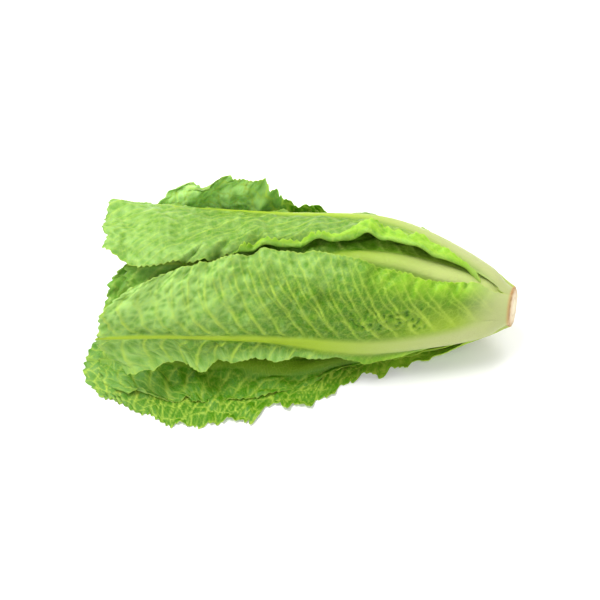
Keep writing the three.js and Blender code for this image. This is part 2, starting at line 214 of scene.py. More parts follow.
def make_stem():
    piece, across, rise = add_grid("stem_core", 96, 90)
    turn = across * math.pi
    # The outline goes from the middle of the cut face over its rim and up the tapering core
    face = np.clip(rise / FACE_SHARE, 0, 1)
    side = np.clip((rise - FACE_SHARE) / (1 - FACE_SHARE), 0, 1)
    rim = smoothstep(0.9, 1, face)
    along = -FACE_HOLLOW + 0.5 * face ** 2 + rim + side * STEM_LENGTH
    radius = face * (STEM_RADIUS + STEM_FLESH)
    taper = stem_radius(np.maximum(along, 0)) + STEM_FLESH
    radius = np.where(side > 0, taper * np.sqrt(np.maximum(0, 1 - side ** 8)), radius)
    knobs = noise(3 * np.cos(turn) + 9, 3 * np.sin(turn) + 9, 1)
    radius = radius + CUT_ROUGHNESS * knobs * face
    grain = noise(radius * np.cos(turn) / 3, radius * np.sin(turn) / 3, 2)
    along = along + CUT_ROUGHNESS * grain * (side == 0)
    set_points(piece, place(along, turn, radius))
    close_mesh(piece)
    return piece


def stem_material():
    """Rings of dried flesh round the middle of the cut face, with a brown rim."""
    material, nodes, links, shader = new_material("cut_stem")
    place_of = nodes.new("ShaderNodeTexCoord")
    middle = nodes.new("ShaderNodeMapping")
    to_axis = (0, -AXIS_Y * MILLIMETRE, -AXIS_HEIGHT_AT_CUT * MILLIMETRE)
    middle.inputs["Location"].default_value = to_axis
    links.new(place_of.outputs["Object"], middle.inputs["Vector"])
    parts = nodes.new("ShaderNodeSeparateXYZ")
    links.new(middle.outputs["Vector"], parts.inputs["Vector"])
    flat = nodes.new("ShaderNodeCombineXYZ")
    links.new(parts.outputs["Y"], flat.inputs["X"])
    links.new(parts.outputs["Z"], flat.inputs["Y"])
    length = nodes.new("ShaderNodeVectorMath")
    length.operation = "LENGTH"
    links.new(flat.outputs["Vector"], length.inputs[0])
    blotch = nodes.new("ShaderNodeTexNoise")
    blotch.inputs["Scale"].default_value = 260
    blotch.inputs["Detail"].default_value = 6
    links.new(place_of.outputs["Object"], blotch.inputs["Vector"])
    wobble = nodes.new("ShaderNodeMath")
    wobble.operation = "MULTIPLY_ADD"
    wobble.inputs[1].default_value = RING_WOBBLE * MILLIMETRE
    links.new(blotch.outputs["Fac"], wobble.inputs[0])
    links.new(length.outputs["Value"], wobble.inputs[2])
    rings = nodes.new("ShaderNodeValToRGB")
    rings.color_ramp.elements[0].position = 0.0
    rings.color_ramp.elements[0].color = (0.72, 0.66, 0.42, 1)
    rings.color_ramp.elements[1].position = 1.0
    rings.color_ramp.elements[1].color = (0.36, 0.20, 0.07, 1)
    for position, color in (
        (0.42, (0.74, 0.66, 0.44, 1)),
        (0.55, (0.60, 0.46, 0.26, 1)),
        (0.66, (0.70, 0.58, 0.37, 1)),
        (0.86, (0.58, 0.42, 0.22, 1)),
    ):
        element = rings.color_ramp.elements.new(position)
        element.color = color
    scaled = nodes.new("ShaderNodeMath")
    scaled.operation = "DIVIDE"
    scaled.inputs[1].default_value = RIM_RADIUS * MILLIMETRE
    links.new(wobble.outputs["Value"], scaled.inputs[0])
    links.new(scaled.outputs["Value"], rings.inputs["Fac"])
    links.new(rings.outputs["Color"], shader.inputs["Base Color"])
    bump = nodes.new("ShaderNodeBump")
    bump.inputs["Strength"].default_value = 0.5
    bump.inputs["Distance"].default_value = 0.0006
    links.new(blotch.outputs["Fac"], bump.inputs["Height"])
    links.new(bump.outputs["Normal"], shader.inputs["Normal"])
    shader.inputs["Roughness"].default_value = 0.55
    shader.inputs["Subsurface Weight"].default_value = 0.15
    shader.inputs["Subsurface Radius"].default_value = (0.004, 0.003, 0.0015)
    shader.inputs["Subsurface Scale"].default_value = 1
    return material


stem_core = make_stem()
stem_core.data.materials.append(stem_material())
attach(stem_core, "root")
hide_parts("stem")


# Leaves: long thin blades of crisp tissue on a thick pale midrib, with waved, toothed margins
# and raised veins. Each grew from the stem inside the leaves before it, and is pushed inwards
# by the leaves that cover it. They are listed from the outermost to the heart.
BLADE = 1.1
THINNEST = 0.85
RIB_EDGE = 1
RIB_SHARE = 0.75
RIB_NARROWING = 1.6
RIB_THINNING = 1.3
RIB_OUTSIDE = 0.55
BASE_THICKNESS = 0.2
BASE_LENGTH = 14
ROOM_SHARE = 0.7
STEM_GAP = 1.15
TIP_ROUNDING = 0.11
TIP_ROUNDING_FROM = 0.55
LEAF_GAP = (0.7, 2.2)
GAP_GROWTH = (40, 130)
SOFTNESS = 1.2
MARGIN_RELEASE = 0.03
MARGIN_REACH = 45
MARGIN_CLEAR = 1.8
MARGIN_BAND = 11
PRESSED_FLAT = 0.3
JOINED_DEPTH = 0.6
JOINED_FROM = 0
JOINED_TO = 32
MARGIN_POWER = 2.4
WAVE_START = (0.08, 0.35)
SHORT_WAVE = 1.83
LONG_SHARE = 0.75
SHORT_SHARE = 0.4
TIP_WAVE = 0.7
NO_LIMIT = 1e6
LEAST_SLOPE = 0.05

OUTER_LEAVES = 6
INNER_LEAVES = 11
ROOT = 0.3
ROOT_SHARE = 0.35

STATIONS = [0, 0.08, 0.2, 0.4, 0.6, 0.78, 0.9, 1]
BROAD = [10, 20, 31, 50, 63, 67, 60, 42]
NARROW = [9, 16, 24, 40, 54, 57, 51, 36]

# Of each leaf: where its base and tip lie along the head, where its midrib lies round the head
# at either end, how large its layer is, its midrib, and half its width on either side of the
# midrib from base to tip. "front" is the side with the larger turn. "flare" and "wave" bend
# the margins, and "folds" are margins rolled over, each with its width and its stretch of the
# leaf. "net", "faint", "pale" and the rest say how strong a feature is where it isn't as usual.
# "pale" is painted light on the leaves and sides that face the light, towards the tip, and
# "front_pale" keeps a front side that turns down into the shade dark.
LEAVES = [
    dict(
        node="leaf_under", base=2, tip=293, turn=(275, 262), girth=1, add=8, lift=0,
        rib=6.5, rib_width=14, front=NARROW, back=[10, 24, 41, 56, 53, 52, 41, 27],
        flare=(6, 2, 3), round=0.06, wave=(3, 7.5, 0.4), faint=1.3, back_teeth=1.5, jags=5.5,
    ),
    dict(
        node="leaf_back_low", base=3, tip=262, turn=(322, 322), girth=1, add=7, lift=0.6,
        rib=6, rib_width=13, front=NARROW, back=BROAD,
        flare=(2, 3, 4), wave=(3, 6.5, 1.9),
    ),
    dict(
        node="leaf_back", base=5, tip=266, turn=(8, 4), girth=1, add=5, lift=0.6,
        rib=6, rib_width=13, front=[9, 9, 8, 8, 22, 39.5, 36.5, 29],
        back=[8, 15, 22, 32, 38, 39, 34, 26],
        flare=(0, 20, 5), flare_from=0.5, wave=(3, 7, 0.9), pale=(-0.8, 1.6),
    ),
    dict(
        node="leaf_near_low", base=5, tip=287, turn=(242, 260), girth=1, add=4.5, lift=1,
        rib=5, rib_width=11, front=[9, 15, 20, 24, 25, 25, 24, 20],
        back=[6, 7, 8, 11, 19, 26, 27, 25],
        flare=(0, 0, 2), wave=(2.5, 7, 2.6), net=0.6,
    ),
    dict(
        node="leaf_front", base=5, tip=278, turn=(190, 168), girth=1, add=0, lift=1,
        rib=6.5, rib_width=13, front=[10, 17, 17, 9, 12, 20, 19, 26],
        back=[24, 42, 54, 69, 67, 57, 48, 36],
        flare=(2, 2, 2), round=0.09, wave=(3, 8.5, 1.2), net=0.62,
        front_teeth=0.25, back_teeth=0.5, front_waves=0.3, wing=3.4, pits=1,
        pale=(0, 1), front_pale=0,
    ),
    dict(
        node="leaf_top", base=5.5, tip=285, turn=(55, 42), girth=1, add=0, lift=1,
        rib=6.5, rib_width=13, front=[12, 14, 25, 33, 43, 64, 73, 63], back=BROAD,
        flare=(1, 6, 4), round=0.035, wave=(3, 8, 0.1),
        folds=[(15, 0.02, 0.28, 0.34, 0.46), (6, 0.3, 0.44, 0.64, 0.74)],
        veins=(1.7, 0.004), net=0.4, faint=0.7, pale=(0.3, 0.25),
    ),
    dict(
        node="leaf_middle", base=12, tip=262, turn=(101, 113), girth=0.87, add=0, lift=1,
        rib=5.5, rib_width=9, front=[10, 20, 30, 46, 52, 54, 50, 38], back=BROAD,
        flare=(1, 1, 2), wave=(2, 7, 2.2), net=0.6,
    ),
    dict(
        node="leaf_inner_1", base=16, tip=278, turn=(150, 148), girth=0.76, add=0, lift=1,
        rib=5, rib_width=11, front=[9, 16, 22, 28, 32, 34, 32, 28], back=NARROW,
        flare=(0, 0, 2), wave=(2, 7, 0.7),
    ),
    dict(
        node="leaf_inner_2", base=19, tip=236, turn=(290, 290), girth=0.67, add=0, lift=1,
        rib=4.5, rib_width=10, scale=0.75, front=NARROW, back=[9, 16, 22, 27, 28, 28, 26, 22],
        flare=(0, 0, 2), wave=(1.8, 6, 1.4),
    ),
    dict(
        node="leaf_inner_3", base=23, tip=240, turn=(20, 20), girth=0.6, add=0, lift=1,
        rib=4, rib_width=9, scale=0.75, front=NARROW, back=NARROW,
        flare=(0, 0, 2), wave=(1.8, 6, 2.9),
    ),
    dict(
        node="leaf_inner_4", base=27, tip=216, turn=(235, 235), girth=0.51, add=0, lift=1,
        rib=3.5, rib_width=8, scale=0.54, front=NARROW, back=NARROW,
        flare=(0, 0, 2), wave=(1.6, 5, 0.5),
    ),
    dict(
        node="leaf_inner_5", base=31, tip=212, turn=(115, 115), girth=0.43, add=0, lift=1,
        rib=3, rib_width=7, scale=0.65, front=NARROW, back=NARROW,
        flare=(0, 0, 2), wave=(1.5, 5, 1.7),
    ),
    dict(
        node="leaf_inner_6", base=35, tip=195, turn=(335, 335), girth=0.35, add=0, lift=1,
        rib=2.6, rib_width=6, scale=0.55, front=NARROW, back=NARROW,
        flare=(0, 0, 1.5), wave=(1.3, 4, 2.5),
    ),
    dict(
        node="leaf_inner_7", base=38, tip=175, turn=(60, 60), girth=0.28, add=0, lift=1,
        rib=2.2, rib_width=5, scale=0.44, front=NARROW, back=NARROW,
        flare=(0, 0, 1.5), wave=(1.2, 4, 0.3),
    ),
    dict(
        node="leaf_inner_8", base=41, tip=150, turn=(200, 200), girth=0.21, add=0, lift=1,
        rib=1.8, rib_width=4, scale=0.34, front=NARROW, back=NARROW,
        flare=(0, 0, 1), wave=(1, 3.5, 1.1),
    ),
]


def soft_min(a, b):
    return np.minimum(a, b) - SOFTNESS * np.log1p(np.exp(-np.abs(a - b) / SOFTNESS))


def profile_at(values, s):
    values = np.array(values, float)
    stations = np.array(STATIONS)
    t = np.clip(s, 0, 1)
    i = np.clip(np.searchsorted(stations, t, side="left") - 1, 0, len(stations) - 2)
    f = (t - stations[i]) / (stations[i + 1] - stations[i])
    a, b = values[i], values[i + 1]
    before, after = values[np.maximum(0, i - 1)], values[np.minimum(len(values) - 1, i + 2)]
    bend = 0.25 * f * (1 - f) * ((1 - f) * (2 * a - before - b) + f * (2 * b - a - after))
    return a + (b - a) * f + bend


def root_of(index):
    """Where a leaf really leaves the stem: the outer ones right at the cut face."""
    return ROOT if index < OUTER_LEAVES else ROOT_SHARE * LEAVES[index]["base"]


def leaf_length(leaf):
    return leaf["tip"] - leaf["base"]


def half_width(leaf, s, v):
    width = np.where(v < 0, profile_at(leaf["back"], s), profile_at(leaf["front"], s))
    return leaf.get("scale", 1) * width


def rounding_at(leaf, s):
    return leaf.get("round", TIP_ROUNDING) * smoothstep(TIP_ROUNDING_FROM, 1, s)


def midrib_turn(leaf, along):
    at_base, at_tip = leaf["turn"]
    t = (along - leaf["base"]) / leaf_length(leaf)
    return np.radians(at_base + (at_tip - at_base) * smoothstep(0.25, 1, t))


def layer_radius(leaf, along):
    return body_radius(along) * leaf["girth"] + leaf["add"] * smoothstep(0, 60, along)


def on_leaf(leaf, along, turn):
    """Where points of the head's space lie on a leaf, and how far from its margin."""
    angle = turn - midrib_turn(leaf, along)
    angle = angle - 2 * math.pi * np.round(angle / (2 * math.pi))
    across = angle * layer_radius(leaf, along)
    straight = (along - leaf["base"]) / leaf_length(leaf)
    s = straight
    v = np.zeros_like(s)
    for _ in range(8):
        v = np.clip(across / half_width(leaf, s, across), -1.4, 1.4)
        s = np.clip(straight + rounding_at(leaf, s) * v * v, -0.2, 1.4)
    wide = np.abs(across) - half_width(leaf, s, across)
    long = (s - 1) * leaf_length(leaf)
    past = np.hypot(np.maximum(0, wide), np.maximum(0, long))
    return s, np.clip(v, -1, 1), across, past, np.maximum(wide, long)


def rib_half_width(leaf, s):
    width = leaf["rib_width"] * (1 - np.clip(s, 0, 1)) ** RIB_NARROWING + RIB_EDGE
    sides = np.minimum(half_width(leaf, s, -1), half_width(leaf, s, 1))
    return np.minimum(width, RIB_SHARE * sides)


def rib_height(leaf, s, across):
    t = np.clip(across / rib_half_width(leaf, s), -1, 1)
    height = leaf["rib"] * (1 - np.clip(s, 0, 1)) ** RIB_THINNING
    growth = smoothstep(0, BASE_LENGTH, s * leaf_length(leaf))
    return height * (1 - t * t) * (BASE_THICKNESS + (1 - BASE_THICKNESS) * growth)


def ruffle(leaf, s, v):
    """How far the margins and the tip bend out of the layer of their leaf."""
    size, count, phase = leaf["wave"]
    flare_back, flare_front, flare_tip = leaf["flare"]
    edge = np.abs(v) ** MARGIN_POWER
    turns = 2 * math.pi * count * s
    long = np.sin(turns + phase + np.where(v < 0, 0, 1.7))
    short = np.sin(SHORT_WAVE * turns + 2.1 * phase + np.where(v < 0, 2, 0))
    grown = smoothstep(*WAVE_START, s)
    start = leaf.get("flare_from")
    flared = grown if start is None else smoothstep(start, start + 0.2, s)
    waved = np.where(v > 0, leaf.get("front_waves", 1), 1)
    side = waved * size * edge * grown * (LONG_SHARE * long + SHORT_SHARE * short)
    end = TIP_WAVE * size * smoothstep(0.8, 1, s) * np.sin(3 * math.pi * v + phase) * (1 - edge)
    flare = np.where(v < 0, flare_back, flare_front)
    curl = flare * edge * flared * (1 - 0.4 * smoothstep(0.8, 1, s))
    return side + end + curl + flare_tip * smoothstep(0.75, 1, s)


def gap_at(along):
    near, far = LEAF_GAP
    return near + (far - near) * smoothstep(*GAP_GROWTH, along)


def layer_at(index, along, turn):
    """The outer and inner surface of a leaf: each leaf before it takes its room first."""
    down = -np.sin(turn)
    room = np.full_like(along, NO_LIMIT)
    for i in range(index + 1):
        leaf = LEAVES[i]
        s, v, across, past, edge = on_leaf(leaf, along, turn)
        rib = rib_height(leaf, s, across)
        outer = layer_radius(leaf, along) + ruffle(leaf, s, v) + RIB_OUTSIDE * rib
        ground = (axis_z(along) - leaf["lift"]) / np.maximum(down, LEAST_SLOPE)
        outer = np.where(down > LEAST_SLOPE, soft_min(outer, ground), outer)
        covered = room < NO_LIMIT / 10
        outer = np.where(covered, soft_min(outer, room - gap_at(along)), outer)
        free = outer - stem_radius(along) - STEM_GAP
        thick = np.maximum(THINNEST, np.minimum(BLADE + rib, free * ROOM_SHARE))
        inner = outer - thick
        if i == index:
            # Right at its base the leaf is one with the stem
            joined = stem_radius(along) - JOINED_DEPTH
            joining = 1 - smoothstep(JOINED_FROM, JOINED_TO, along - leaf["base"])
            return outer, inner + (np.minimum(inner, joined) - inner) * joining
        near_margin = np.exp(-((edge / MARGIN_BAND) ** 2))
        clear = MARGIN_CLEAR * smoothstep(*GAP_GROWTH, along) * near_margin
        released = inner + MARGIN_RELEASE * past * past - clear
        covers = (past <= MARGIN_REACH) & (along >= root_of(i) - 1)
        lowered = np.where(covered, soft_min(room, released), released)
        room = np.where(covers, lowered, room)
    return None


GRIDS = {
    "leaf_under": (130, 260),
    "leaf_back_low": (70, 130),
    "leaf_back": (100, 210),
    "leaf_near_low": (80, 220),
    "leaf_front": (150, 315),
    "leaf_top": (150, 315),
    "leaf_middle": (90, 180),
    "leaf_inner_1": (76, 180),
}
HEART_GRID = (50, 90)
CROWDING = 1.25
PAINTED = ("rib", "vein", "net", "dent", "margin", "grown", "pale", "young")
UV_SPAN = 100

TOOTH_PITCH = 4.5
TOOTH_DEPTH = 2.4
TIP_TOOTH = 1.5
LOBE_PITCH = 19
LOBE_DEPTH = 3.2
JAG_PITCH = 16
JAG_STEP = 0.15
JAG_MIDDLE = 0.35
JAG_STRETCH = (0.12, 0.2, 0.5, 0.62)
FRILL = 1.5
FRILL_PITCH = 6.5

FOLD_BEND = (1.6, 0.6)
FOLD_TURN = 0.94 * math.pi
FOLD_BACK = math.cos(0.12 * math.pi)
FOLD_RISE = 0.3
CRUMPLE = 1.3

THIN_BLADE = 0.6
BLADE_EDGE = 0.4
VEIN_PITCH = 13
VEIN_SWEEP = (0.65, 0.001)
VEIN_START = (7, 6)
VEIN_WANDER = (2.4, 0.9)
VEIN_HEIGHT = 1.2
VEIN_THICKNESS = 0.4
VEIN_SPREAD = 0.08
VEIN_THINNING = (10, 55)
FORK_SPREAD = 0.045
FORK_START = (10, 16)
FORK_REACH = (10, 46)
OTHER_STRIDES = (269.5, 183.3)
NET_CELL = 6.5
NET_HEIGHT = 1.5
NET_LINE = 0.09
PIT_PITCH = 4.3
PIT_DEPTH = 1.4
PIT_STRETCH = (0.16, 0.22, 0.36, 0.44)
PIT_SPAN = (12, 17, 30, 38)
PUCKER = 2.6
PUCKER_PITCH = (15, 12)
CRINKLE = 1.3
CRINKLE_PITCH = (6.5, 5.5)
CRIMP_PITCH = (3.6, 7)
RELIEF_START = (20, 80)
FRILL_START = (8, 50)
WING_START = (8, 30)
THIN_START = (30, 90)
FIRST_SEED = 11
SEED_STEP = 7


def band(value, start, full, fading, gone):
    """1 along a stretch, with a soft start and a soft end."""
    return smoothstep(start, full, value) * (1 - smoothstep(fading, gone, value))


def teeth(run, line, seed):
    """How far a margin is cut back: sharp uneven teeth on shallow lobes, in millimetres."""
    stretched = run / TOOTH_PITCH + 0.8 * noise(run / 11, line, seed + 1)
    phase = stretched - np.floor(stretched)
    size = 0.35 + 0.65 * np.abs(noise(np.floor(stretched) + 0.5, line + 0.5, seed + 2))
    saw = np.where(phase < 0.7, phase / 0.7, (1 - phase) / 0.3)
    lobe = smoothstep(0.0, 0.7, noise(run / LOBE_PITCH, line, seed + 3))
    return TOOTH_DEPTH * size * (1 - saw) + LOBE_DEPTH * lobe


def jags(run, line, seed):
    """Long jags that point back towards the base, as a share of their size."""
    phase = run / JAG_PITCH + 0.4 * noise(run / 25, line, seed + 16)
    phase = phase - np.floor(phase)
    step, slope = 1 - phase / JAG_STEP, (phase - JAG_STEP) / (1 - JAG_STEP)
    return np.where(phase < JAG_STEP, step, slope) - JAG_MIDDLE


def tooth_share(leaf, s, v):
    at_back = leaf.get("back_teeth", 1)
    young = 1 - smoothstep(0.25, 0.45, s)
    return np.where(v > 0, leaf.get("front_teeth", 1), at_back + (1 - at_back) * young)


def margin_cut(leaf, s, v, run, line, seed):
    """How far the side margins are cut back, in millimetres."""
    grown = 0.4 + 0.6 * smoothstep(0.06, 0.3, s)
    cut = tooth_share(leaf, s, v) * teeth(run, line, seed) * smoothstep(0.72, 1, np.abs(v)) * grown
    torn = leaf.get("jags", 0) * band(s, *JAG_STRETCH) * smoothstep(0.6, 1, -v)
    return cut + torn * jags(run, line, seed)


def frill_height(leaf, s, v, run, arc, line, seed):
    """Small uneven waves right at the margins and the tip."""
    margin = np.abs(v)
    small = noise(run / FRILL_PITCH / 2.3, line, seed + 9)
    waves = noise(run / FRILL_PITCH, line, seed + 4) + 0.8 * small
    sides = FRILL * tooth_share(leaf, s, v) * margin ** 6 * smoothstep(0.02, 0.2, s) * waves
    tip = smoothstep(0.9, 1, s) * (1 - margin ** 6)
    return sides + FRILL * tip * noise(arc / FRILL_PITCH, 0.5 + 0 * arc, seed + 10)


def fold_margin(leaf, s, v, arc, width, run, seed):
    """Rolls the front margin over onto the outside of the leaf.

    Gives the way from the midrib along the tissue, the place across the leaf that it comes to,
    its height over the leaf, and where the inner side is in sight."""
    reach = np.zeros_like(s)
    for size, *stretch in leaf["folds"]:
        reach = np.maximum(reach, size * band(s, *stretch))
    bend = FOLD_BEND[0] + FOLD_BEND[1] * noise(run / 12, 0.5 * np.ones_like(run), seed + 7)
    arc = np.where(v > 0, arc * (width + reach) / width, arc)
    start = width - bend
    angle = np.clip((arc - start) / bend, 0, FOLD_TURN)
    beyond = np.maximum(0, arc - start - FOLD_TURN * bend)
    back = start + bend * np.sin(angle) - beyond * FOLD_BACK
    rolled = (v > 0) & (reach > 0.2) & (arc > start)
    crumple = CRUMPLE * noise(run / 4.5, arc / 5, seed + 14) * smoothstep(0, 5, beyond)
    lift = np.where(rolled, bend * (1 - np.cos(angle)) + beyond * FOLD_RISE + crumple, 0)
    return arc, np.where(rolled, back, arc), lift, np.where(rolled, smoothstep(-1, 1, beyond), 0)


def side_vein_lines(run, across, sweep, seed):
    """A field that is a whole number on each side vein and grows by one from vein to vein."""
    reach = np.abs(across)
    slope, curve = sweep
    side = np.where(across < 0, 0.45, 0)
    drawn_out, length = VEIN_START
    start = drawn_out * (1 - np.exp(-reach / length))
    wide, narrow = VEIN_WANDER
    wander = wide * noise(run / 30, across / 22, seed + 3)
    wander = wander + narrow * noise(run / 9, across / 7, seed + 4)
    return (run - start - slope * reach + curve * reach ** 2 + wander) / VEIN_PITCH + side


def on_line(lines, spread):
    """1 where a field is a whole number, falling off to 0 beside it."""
    return np.exp(-(((lines - np.round(lines)) / spread) ** 2))


def side_veins(leaf, margin, run, arc, seed):
    """1 on the side veins and their forks, which thin out towards the margin."""
    reach = np.abs(arc)
    lines = side_vein_lines(run, arc, leaf.get("veins", VEIN_SWEEP), seed)
    vein = on_line(lines, VEIN_SPREAD * (1 - 0.45 * smoothstep(*VEIN_THINNING, reach)))
    fork = on_line(lines - 0.45 * smoothstep(*FORK_REACH, reach), FORK_SPREAD)
    fork = fork * smoothstep(*FORK_START, reach)
    vein = np.maximum(vein, 0.85 * fork) * (0.75 + 0.35 * noise(run / 14, arc / 10, seed + 12))
    return leaf.get("faint", 1) * vein * (1 - 0.5 * smoothstep(0.6, 1, margin))


def net_of_cells(run, across, seed, cell):
    """The net of fine veins: 1 on it, and how far a point lies from the middle of its mesh."""
    x = run / cell + 0.4 * noise(run / 8, across / 8, seed + 5)
    y = across / cell + 0.4 * noise(run / 8, across / 8, seed + 6)
    column, row = np.floor(x), np.floor(y)
    first = np.full_like(x, 9.0)
    second = np.full_like(x, 9.0)
    for i in (-1, 0, 1):
        for j in (-1, 0, 1):
            cell_x, cell_y = column + i, row + j
            middle_x = cell_x + 0.1 + 0.8 * draw(cell_x, cell_y, DRAW_STRIDES, seed)
            middle_y = cell_y + 0.1 + 0.8 * draw(cell_x, cell_y, OTHER_STRIDES, seed)
            distance = np.hypot(x - middle_x, y - middle_y)
            second = np.where(distance < first, first, np.minimum(second, distance))
            first = np.minimum(first, distance)
    return np.exp(-(((second - first) / NET_LINE) ** 2)), first


def pits_beside_rib(leaf, s, run, arc, seed):
    """1 in the small pits between the side veins of the front leaf, near its midrib."""
    from_middle = net_of_cells(run, 0.75 * arc, seed + 30, PIT_PITCH)[1]
    pitted = band(s, *PIT_STRETCH) * band(-arc, *PIT_SPAN)
    return leaf.get("pits", 0) * pitted * (1 - smoothstep(0.2, 0.42, from_middle))


def make_leaf(index, columns, rows):
    """The middle layer of a leaf, and what is known at each of its points."""
    leaf = LEAVES[index]
    piece, v, s = add_grid(leaf["node"] + "_blade", columns, rows)
    seed = FIRST_SEED + SEED_STEP * index
    # Columns stand closer together towards the margin, where the teeth and frills are
    v = np.sign(v) * (1 - (1 - np.abs(v)) ** CROWDING)
    margin = np.abs(v)
    length = leaf_length(leaf)
    run = s * length
    # Either side margin has a line of its own in the noise
    line = np.sign(v) * 5 + 0.5
    width = half_width(leaf, s, v)
    arc = v * width - np.sign(v) * margin_cut(leaf, s, v, run, line, seed)
    young = (1 - smoothstep(0.22, 0.42, s)) * smoothstep(0.6, 0.9, margin)
    across, lift = arc, np.zeros_like(arc)
    if "folds" in leaf:
        arc, across, lift, in_sight = fold_margin(leaf, s, v, arc, width, run, seed)
        young = np.maximum(young, in_sight)
    along = leaf["base"] + length * (s - rounding_at(leaf, s) * v * v)
    along = along - (leaf["base"] - root_of(index)) * (1 - smoothstep(0, 0.07, s))
    tip_cut = TIP_TOOTH * teeth(arc + 60, 9.5, seed + 5)
    along = along - tip_cut * smoothstep(0.93, 1, s) * (1 - margin ** 8)
    turn = midrib_turn(leaf, along) + across / layer_radius(leaf, along)
    outer, inner = layer_at(index, along, turn)

    # Veins, net, blisters and pits
    rib_width = rib_half_width(leaf, s)
    beside_rib = smoothstep(0.75, 1.6, np.abs(arc) / rib_width)
    vein = side_veins(leaf, margin, run, arc, seed)
    net, mesh_middle = net_of_cells(run, arc, seed, NET_CELL)
    net_share = leaf.get("net", 1)
    pits = pits_beside_rib(leaf, s, run, arc, seed)
    blistered = beside_rib * smoothstep(0.1, 0.34, s)
    blisters = NET_HEIGHT * (0.4 + 0.6 * net_share) * (np.minimum(mesh_middle, 0.75) - 0.4)
    puckers = PUCKER * noise(run / PUCKER_PITCH[0], arc / PUCKER_PITCH[1], seed + 8)
    crinkles = CRINKLE * noise(run / CRINKLE_PITCH[0], arc / CRINKLE_PITCH[1], seed + 13)
    relief = VEIN_HEIGHT * vein * beside_rib * smoothstep(0.12, 0.4, s) - PIT_DEPTH * pits
    relief = relief + blistered * (blisters + puckers + crinkles)
    # Painted shade: the hollows in the middle of the net's meshes and the pits are marked to be
    # darkened
    painted_dimple_shade = np.maximum(1.6 * pits, np.clip(1 - mesh_middle / 0.45, 0, 1) * blistered)

    # Relief fades where the leaf is pressed between others, near the stem
    frill = frill_height(leaf, s, v, run, arc, line, seed)
    ripple = relief * smoothstep(*RELIEF_START, along) + frill * smoothstep(*FRILL_START, along)
    # The wing of young tissue beside the base of the front leaf is crimped outwards
    crimp = 0.5 + 0.5 * noise(run / CRIMP_PITCH[0], arc / CRIMP_PITCH[1], seed + 15)
    wing = smoothstep(0.4, 1, -v) * smoothstep(*WING_START, along) * (1 - smoothstep(0.3, 0.5, s))
    wing = wing * ("wing" in leaf)
    ripple = ripple + leaf.get("wing", 0) * wing * crimp

    middle = (outer + inner) / 2 + ripple + lift
    thick = outer - inner - (BLADE - THIN_BLADE) * beside_rib * smoothstep(*THIN_START, along)
    thick = thick + VEIN_THICKNESS * vein * beside_rib - 0.2 * smoothstep(0.85, 1, margin)
    thick = np.maximum(BLADE_EDGE, thick)
    # The lowest leaf is pressed flat against what it lies on
    lowest = place(along, turn, middle + thick / 2)[:, 2] / MILLIMETRE
    points = place(along, turn, middle)
    points[:, 2] += np.maximum(0, PRESSED_FLAT - lowest) * MILLIMETRE
    outward = place(along, turn, middle + 0.5) - place(along, turn, middle - 0.5)
    set_points(piece, points)
    # Painted light: the tip half of leaves and sides that face the light is paled, more away from
    # the midrib; a front side turned down into the shade is kept dark
    pale = np.interp(s, [0.5, 0.85], leaf.get("pale", (0, 0)))
    pale = pale * np.where(v > 0, leaf.get("front_pale", 1), 1)
    return piece, dict(
        thick=thick, outward=outward, points=points, run=run, arc=arc,
        rib=1 - smoothstep(0.5, 1.25, np.abs(arc) / rib_width),
        vein=vein * beside_rib, net=net_share * net * beside_rib, margin=margin, grown=s,
        # Painted shade: "dent" also darkens the valleys of the crimped wing
        dent=np.maximum(painted_dimple_shade, 0.9 * wing * smoothstep(0.6, 0.2, crimp)),
        pale=pale * (0.35 + 0.65 * smoothstep(0.05, 0.45, margin)),
        young=young,
    )


def thicken(piece, facts):
    """Gives a leaf its thickness, from the midrib to the thin margin, and marks its inside."""
    thickest = float(facts["thick"].max())
    group = piece.vertex_groups.new(name="thickness")
    for i, share in enumerate(facts["thick"] / thickest):
        group.add([i], float(share), "REPLACE")
    for name in PAINTED:
        layer = piece.data.attributes.new(name, "FLOAT", "POINT")
        layer.data.foreach_set("value", facts[name].astype(np.float32))
    corners = np.empty(len(piece.data.loops), dtype=np.int32)
    piece.data.loops.foreach_get("vertex_index", corners)
    flat = np.stack([facts["run"], facts["arc"]], axis=-1)[corners] / UV_SPAN
    piece.data.uv_layers[0].data.foreach_set("uv", flat.astype(np.float32).ravel())
    solidify = piece.modifiers.new("thickness", "SOLIDIFY")
    solidify.thickness = thickest * MILLIMETRE
    solidify.offset = 0
    solidify.vertex_group = "thickness"
    select_only(piece)
    bpy.ops.object.modifier_apply(modifier="thickness")
    count = len(facts["points"])
    points = np.empty(len(piece.data.vertices) * 3)
    piece.data.vertices.foreach_get("co", points)
    moved = points.reshape(-1, 3)[:count] - facts["points"]
    first_is_inside = np.einsum("ij,ij->i", moved, facts["outward"]).sum() < 0
    inside = np.zeros(2 * count, dtype=np.float32)
    inside[:count] = 1 if first_is_inside else 0
    inside[count:] = 0 if first_is_inside else 1
    layer = piece.data.attributes.new("inside", "FLOAT", "POINT")
    layer.data.foreach_set("value", inside)
    piece.vertex_groups.clear()
    face_outwards()


def mix_color(nodes, links, first, second, factor):
    """A mix of two colours. Sockets 6 and 7 of the node are its colours and 0 is the factor."""
    mix = nodes.new("ShaderNodeMix")
    mix.data_type = "RGBA"
    for socket, value in ((6, first), (7, second), (0, factor)):
        if isinstance(value, bpy.types.NodeSocket):
            links.new(value, mix.inputs[socket])
        else:
            mix.inputs[socket].default_value = value
    return mix.outputs[2]


def ramp_value(nodes, links, value, low, high):
    """0 below the low value and 1 above the high one, with a smooth rise between them."""
    ramp = nodes.new("ShaderNodeMapRange")
    ramp.interpolation_type = "SMOOTHSTEP"
    ramp.inputs["From Min"].default_value = low
    ramp.inputs["From Max"].default_value = high
    links.new(value, ramp.inputs["Value"])
    return ramp.outputs["Result"]


